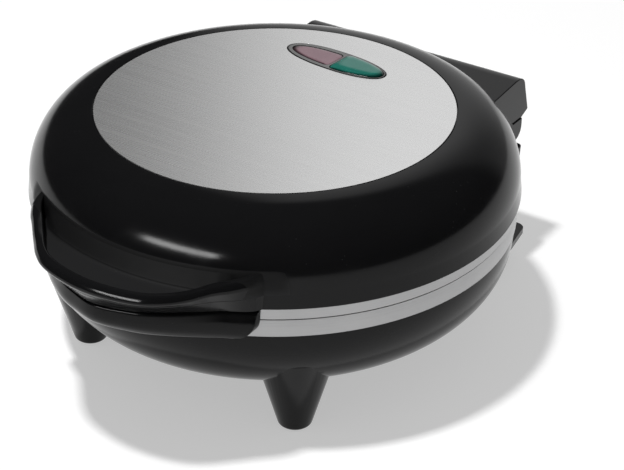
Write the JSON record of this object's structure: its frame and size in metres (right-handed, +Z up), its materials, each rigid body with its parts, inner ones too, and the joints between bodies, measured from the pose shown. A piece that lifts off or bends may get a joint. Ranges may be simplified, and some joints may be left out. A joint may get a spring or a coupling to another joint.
{
  "type": "electric omelette maker",
  "caption": "Round electric omelette maker: glossy domed lid hinged at the back, front grip, bare plate rims, tapered legs and a lamp window in a brushed steel disc.",
  "frame": {"origin": "centre of the whole outline, on the surface that the foot pads stand on", "axes": "+X to the right seen from the handle, +Y from the handle to the hinge, +Z up"},
  "size_m": [0.21, 0.25, 0.1054],
  "materials": {
    "black_plastic": "smooth glossy black moulding",
    "cast_aluminium": "bare cast aluminium rim, satin",
    "brushed_steel": "finely brushed in one direction",
    "reflector_sheet": "bright sheet",
    "element_sheath": "dull heat-tinted tube",
    "zinc_steel": "zinc plated",
    "rubber": "matt black",
    "white_ceramic": "off-white, unglazed",
    "clear_grey_plastic": "pale grey, clear and glossy",
    "red_lens": "dusty red lens, glossy",
    "green_lens": "deep green crowned lens, glossy",
    "lamp_glass": "small neon lamp",
    "brown_lead": "insulated lead",
    "blue_lead": "insulated lead"
  },
  "bodies": {
    "base": {"base_shell": "black_plastic", "cord_inlet": "rubber", "foot_pad_front_left": "rubber", "foot_pad_front_right": "rubber", "foot_pad_rear_left": "rubber", "foot_pad_rear_right": "rubber", "fuse_lead": "brown_lead", "hinge_pin_left": "zinc_steel", "hinge_pin_right": "zinc_steel", "lower_element": "element_sheath", "lower_plate": "cast_aluminium", "lower_plate_screw_1": "zinc_steel", "lower_plate_screw_2": "zinc_steel", "lower_plate_screw_3": "zinc_steel", "lower_plate_screw_4": "zinc_steel", "lower_reflector": "reflector_sheet", "supply_lead_live": "brown_lead", "supply_lead_neutral": "blue_lead", "terminal_block": "white_ceramic", "terminal_screw_1": "zinc_steel", "terminal_screw_2": "zinc_steel", "thermal_fuse": "white_ceramic", "thermostat": "white_ceramic", "thermostat_lead": "brown_lead", "thermostat_screw_1": "zinc_steel", "thermostat_screw_2": "zinc_steel"},
    "lid": {"green_lamp": "lamp_glass", "green_lens": "green_lens", "holder_screw_left": "zinc_steel", "holder_screw_right": "zinc_steel", "lamp_holder": "white_ceramic", "lamp_lead_live": "brown_lead", "lamp_lead_neutral": "blue_lead", "lid_shell": "black_plastic", "red_lamp": "lamp_glass", "red_lens": "red_lens", "top_disc": "brushed_steel", "upper_element": "element_sheath", "upper_plate": "cast_aluminium", "upper_plate_screw_1": "zinc_steel", "upper_plate_screw_2": "zinc_steel", "upper_plate_screw_3": "zinc_steel", "upper_plate_screw_4": "zinc_steel", "upper_reflector": "reflector_sheet", "window_bezel": "clear_grey_plastic"}
  },
  "joints": [
    {"name": "lid_hinge", "type": "hinge", "parent": "base", "child": "lid", "pos_m": [0, 0.1128, 0.0615], "axis": [-1, 0, 0], "range_deg": [0, 100]}
  ]
}
